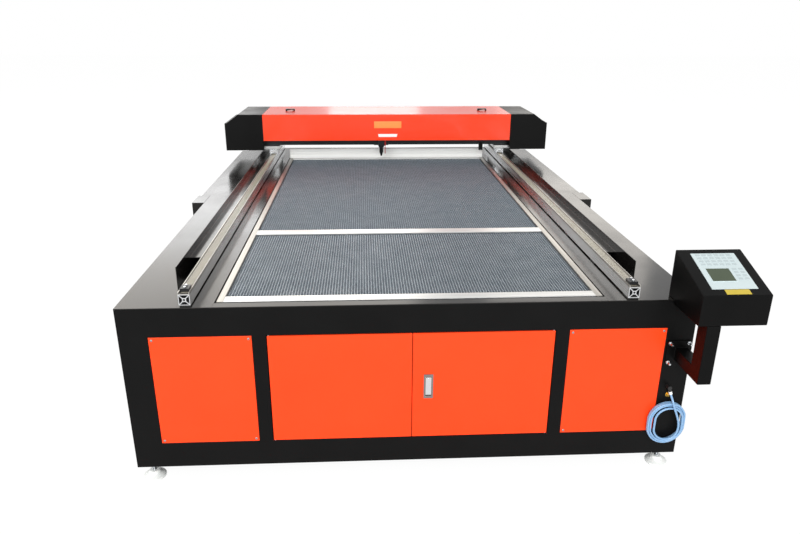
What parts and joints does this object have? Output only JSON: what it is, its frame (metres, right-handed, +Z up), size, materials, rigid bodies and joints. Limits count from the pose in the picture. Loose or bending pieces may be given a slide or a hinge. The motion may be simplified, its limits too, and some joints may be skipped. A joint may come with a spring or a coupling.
{
  "type": "flat-bed carbon dioxide laser engraving machine",
  "caption": "Long flat-bed laser engraver: black cabinet with orange doors, honeycomb bed, side rails, travelling gantry with laser tube and head, and a sloping front console.",
  "frame": {"origin": "middle of the footprint, on the floor", "axes": "+X to the machine's right seen from the console end, +Y from the front face to the rear, +Z up"},
  "size_m": [2.269, 3.24, 1.066],
  "materials": {
    "black_coat": "gloss black powder coat",
    "orange_coat": "orange powder coat",
    "silver_aluminium": "satin extruded aluminium",
    "comb_aluminium": "dull blue-grey honeycomb",
    "zinc_steel": "zinc plated",
    "lock_chrome": "satin chrome plate",
    "belt_rubber": "toothed belt",
    "pad_plastic": "pale nylon",
    "black_plastic": "moulded black plastic",
    "keypad_film": "printed membrane, left plain",
    "screen_plastic": "green-grey display window",
    "yellow_plate": "plain plate",
    "brass": "turned brass",
    "hose_blue": "polyurethane hose",
    "tube_glass": "sealed glass tube",
    "black_anodise": "black anodised",
    "grey_case": "grey sheet case",
    "red_plastic": "red plastic"
  },
  "bodies": {
    "machine": {"front_frame": "black_coat", "side_skins": "black_coat", "rear_skin": "black_coat", "base_pan": "black_coat", "frame_posts": "black_coat", "deck_ends": "black_coat", "deck_sides": "black_coat", "front_panels": "orange_coat", "panel_screws": "zinc_steel", "door_pivots": "zinc_steel", "foot_studs": "zinc_steel", "foot_nuts": "zinc_steel", "foot_pads": "pad_plastic", "bed_side_bars": "silver_aluminium", "bed_cross_bars": "silver_aluminium", "bed_bearers": "black_coat", "honeycomb_front": "comb_aluminium", "honeycomb_rear": "comb_aluminium", "rail_tubes": "silver_aluminium", "rail_pads": "black_plastic", "guide_channels": "silver_aluminium", "drive_belts": "belt_rubber", "belt_clamps": "black_anodise", "clamp_bolts": "zinc_steel", "rail_guards": "black_coat", "rear_fence": "silver_aluminium", "cable_ducts": "black_coat", "laser_power_supply": "grey_case", "motion_controller": "grey_case", "console_arm": "black_coat", "console_bolts": "zinc_steel", "console_box": "black_coat", "console_keypad": "keypad_film", "console_screen": "screen_plastic", "console_plate": "yellow_plate", "air_fitting": "black_plastic", "earth_stud": "brass", "air_hose": "hose_blue", "air_hose_coil": "hose_blue"},
    "gantry": {"gantry_beam": "black_anodise", "carriage_plates": "silver_aluminium", "drive_motors": "black_coat", "head_guide_rail": "zinc_steel", "limit_bracket": "black_coat", "bearing_blocks": "zinc_steel", "gantry_covers": "orange_coat", "end_housings": "black_coat", "laser_tube": "tube_glass", "tube_mounts": "silver_aluminium", "lid_hinge_pins": "zinc_steel"},
    "lid": {"gantry_lid": "orange_coat", "lid_handles": "black_plastic"},
    "head": {"head_slide": "silver_aluminium", "laser_head": "black_anodise", "pointer": "red_plastic"},
    "focus": {"focus_tube": "black_anodise"},
    "door_left": {"door_left": "orange_coat"},
    "door_right": {"door_right": "orange_coat", "door_lock": "lock_chrome"},
    "lock_lever": {"lock_lever": "lock_chrome"}
  },
  "joints": [
    {"name": "gantry_travel", "type": "slide", "parent": "machine", "child": "gantry", "axis": [0, 1, 0], "range_m": [-2.4, 0.09]},
    {"name": "head_travel", "type": "slide", "parent": "gantry", "child": "head", "axis": [1, 0, 0], "range_m": [-0.606, 0.694]},
    {"name": "lens_focus", "type": "slide", "parent": "head", "child": "focus", "axis": [0, 0, 1], "range_m": [-0.015, 0.015]},
    {"name": "lid_hinge", "type": "hinge", "parent": "gantry", "child": "lid", "pos_m": [-0.0345, 1.4935, 1.047], "axis": [-1, 0, 0], "range_deg": [0, 80]},
    {"name": "left_door_hinge", "type": "hinge", "parent": "machine", "child": "door_left", "pos_m": [-0.5445, -1.425, 0.396], "axis": [0, 0, -1], "range_deg": [0, 110]},
    {"name": "right_door_hinge", "type": "hinge", "parent": "machine", "child": "door_right", "pos_m": [0.4755, -1.425, 0.396], "axis": [0, 0, 1], "range_deg": [0, 110]},
    {"name": "lock_lever_pivot", "type": "hinge", "parent": "door_right", "child": "lock_lever", "pos_m": [0.025, -1.43, 0.3635], "axis": [1, 0, 0], "range_deg": [0, 35]}
  ]
}
